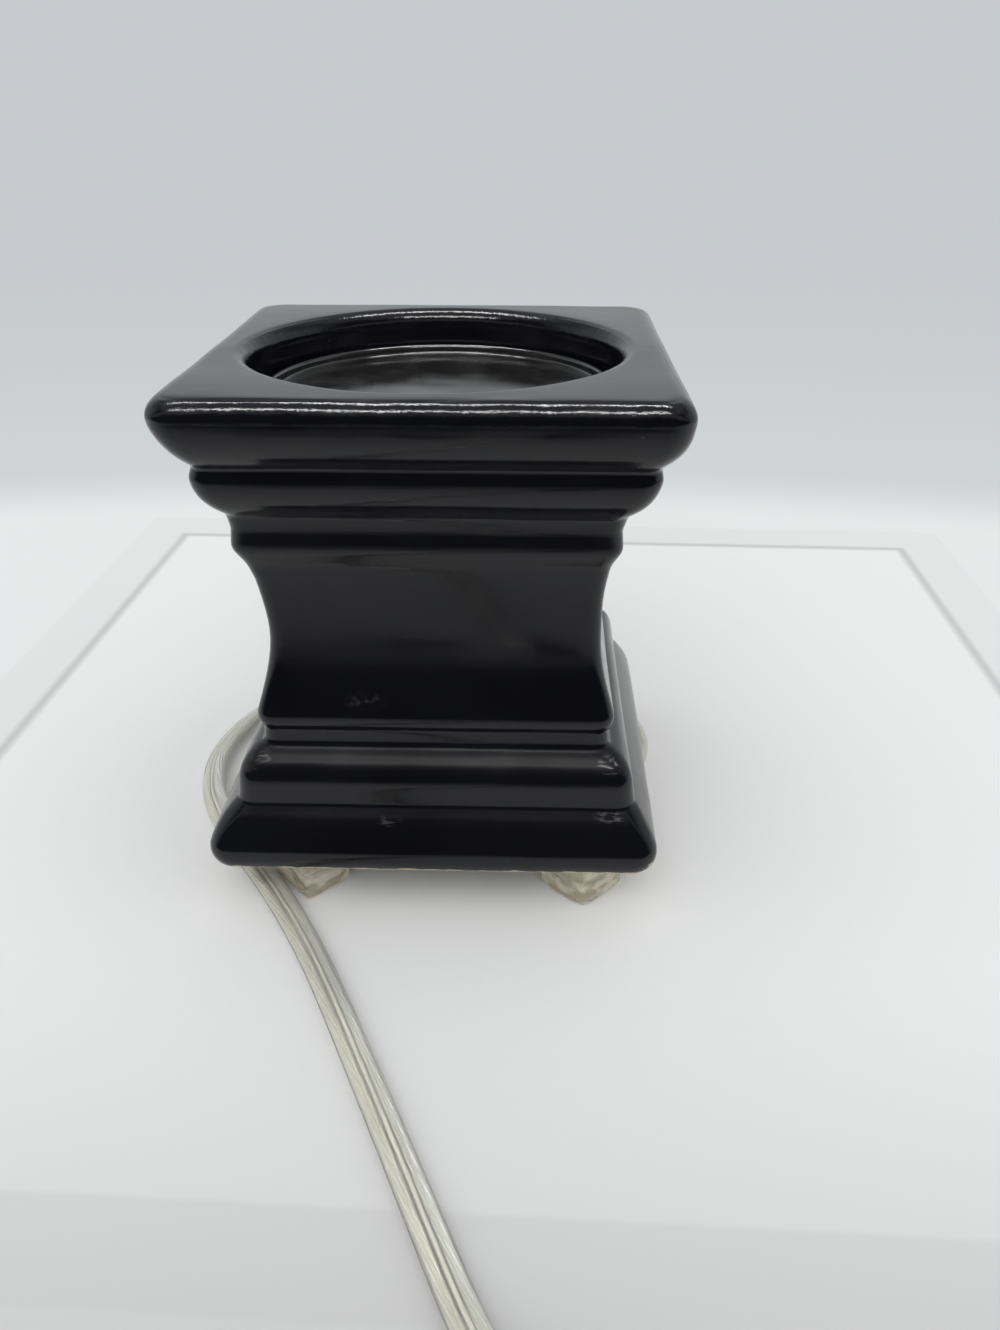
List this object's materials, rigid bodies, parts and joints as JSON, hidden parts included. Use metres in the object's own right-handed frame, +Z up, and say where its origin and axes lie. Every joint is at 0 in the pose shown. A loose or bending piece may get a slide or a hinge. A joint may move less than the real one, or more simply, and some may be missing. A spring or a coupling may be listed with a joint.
{
  "type": "electric wax warmer",
  "caption": "Square moulded ceramic pedestal with a heated pan in a round well on top, clear bumper feet and a clear flat mains cord with an in-line switch.",
  "frame": {"origin": "on the table, under the middle of the pedestal", "axes": "+Z up, front towards -Y"},
  "size_m": [0.1436, 0.3394, 0.1173],
  "materials": {
    "glaze": "high-gloss black glaze",
    "pan_coating": "black non-stick coating",
    "clear_foot": "clear moulded bumper, slightly yellowed",
    "clear_vinyl": "clear flexible vinyl over tinned strands",
    "silicone": "moulded silicone",
    "mica": "mica sheet",
    "element_wire": "resistance wire",
    "steel": "zinc-plated steel",
    "shield": "bright sheet",
    "brass": "plain brass",
    "sleeve": "heat-resistant sleeve",
    "board": "black board",
    "wheel": "moulded thumbwheel",
    "tie": "plain band"
  },
  "bodies": {
    "warmer": {"ceramic_body": "glaze", "warming_pan": "pan_coating", "pan_gasket": "silicone", "pan_stud": "steel", "upper_mica": "mica", "heating_element": "element_wire", "lower_mica": "mica", "pressure_plate": "steel", "spring_washer": "steel", "stud_nut": "steel", "heat_shield": "shield", "thermal_fuse": "brass", "fuse_clip": "steel", "element_lead": "sleeve", "fuse_lead_in": "sleeve", "fuse_lead_out": "sleeve", "splice_live": "sleeve", "splice_neutral": "sleeve", "core_live": "clear_vinyl", "core_neutral": "clear_vinyl", "rod_coupler": "brass", "tie_rod": "steel", "base_plate": "board", "base_washer": "steel", "base_nut": "steel", "cord_boot": "clear_vinyl", "foot_front_left": "clear_foot", "foot_front_right": "clear_foot", "foot_rear_left": "clear_foot", "foot_rear_right": "clear_foot", "cord_lead": "clear_vinyl", "cord_link": "clear_vinyl", "cord_coil": "clear_vinyl", "cord_tail": "clear_vinyl", "coil_tie": "tie", "switch_lower_shell": "clear_vinyl", "switch_upper_shell": "clear_vinyl", "switch_pin": "steel", "switch_contact": "brass", "switch_screw": "steel", "plug_body": "clear_vinyl", "plug_blade_left": "brass", "plug_blade_right": "brass"},
    "thumbwheel": {"switch_wheel": "wheel"}
  },
  "joints": [
    {"name": "thumbwheel_turn", "type": "hinge", "parent": "warmer", "child": "thumbwheel", "pos_m": [0.03754, -0.18809, 0.00705], "axis": [0, 0, 1], "continuous": true}
  ]
}
